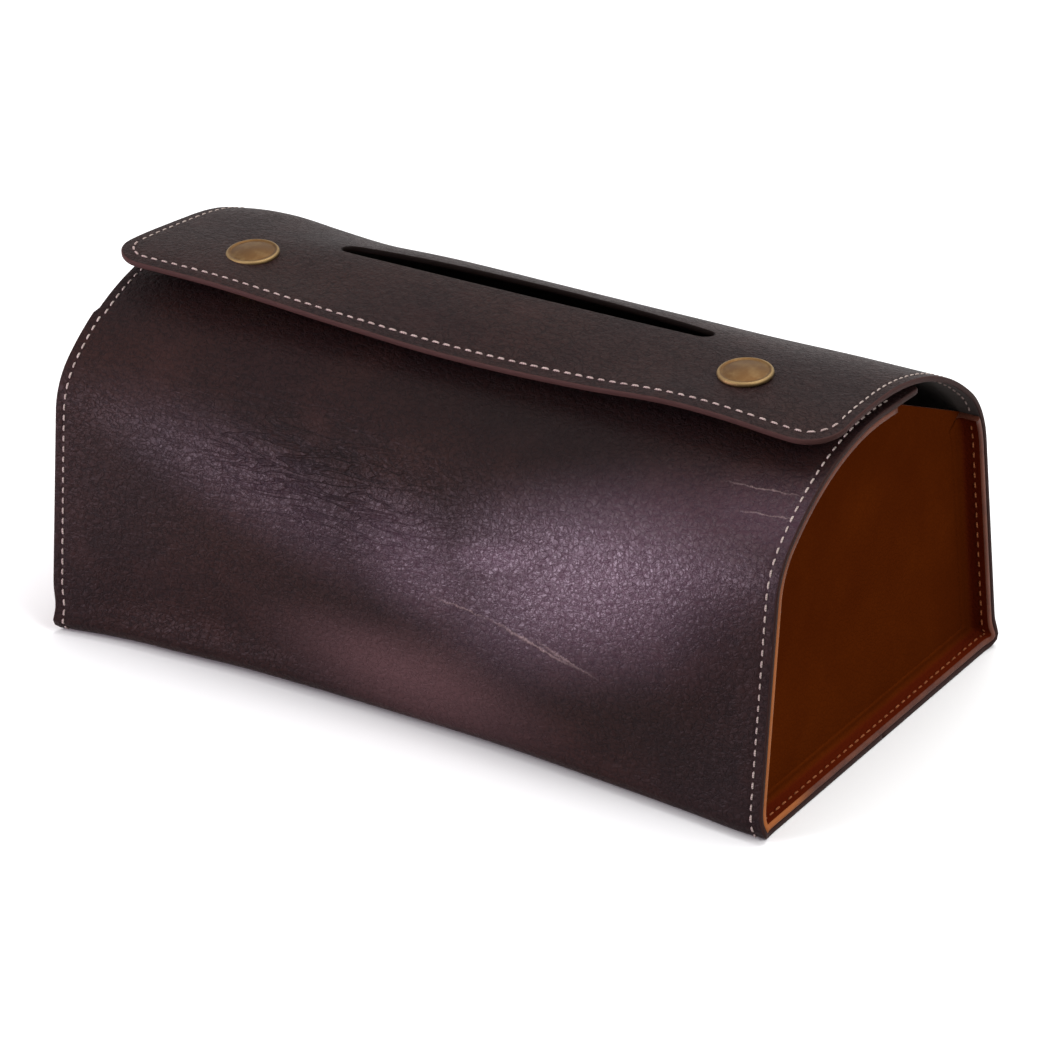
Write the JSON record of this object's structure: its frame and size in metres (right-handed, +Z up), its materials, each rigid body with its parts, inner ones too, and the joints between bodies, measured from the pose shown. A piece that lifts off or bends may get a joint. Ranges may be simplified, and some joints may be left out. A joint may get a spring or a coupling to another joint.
{
  "type": "tissue box cover",
  "caption": "Leather tissue box cover with a lens-shaped slot in a snap-fastened top flap, leaning sides and recessed tan end panels.",
  "frame": {"origin": "centre of the base, on the surface that the box stands on", "axes": "+X along the box to its right end panel, -Y towards the front panel with the flap's free edge, +Z up"},
  "size_m": [0.23, 0.133, 0.1051],
  "materials": {
    "dark_leather": "espresso pebbled leather, satin",
    "lining": "dark matt backing leather",
    "tan_leather": "smooth cognac leather, satin",
    "antique_brass": "antique brass, brushed",
    "snap_brass": "stamped brass",
    "spring_wire": "drawn wire"
  },
  "bodies": {
    "case": {"body_wrap": "dark_leather", "body_lining": "lining", "left_end_panel": "tan_leather", "right_end_panel": "tan_leather", "left_snap_stud": "snap_brass", "left_snap_post": "snap_brass", "right_snap_stud": "snap_brass", "right_snap_post": "snap_brass"},
    "flap": {"top_flap": "dark_leather", "flap_lining": "lining", "left_snap_cap": "antique_brass", "left_snap_socket": "snap_brass", "left_snap_spring": "spring_wire", "right_snap_cap": "antique_brass", "right_snap_socket": "snap_brass", "right_snap_spring": "spring_wire"}
  },
  "joints": [
    {"name": "flap_hinge", "type": "hinge", "parent": "case", "child": "flap", "pos_m": [0, 0.05378, 0.076], "axis": [-1, 0, 0], "range_deg": [0, 150]}
  ]
}
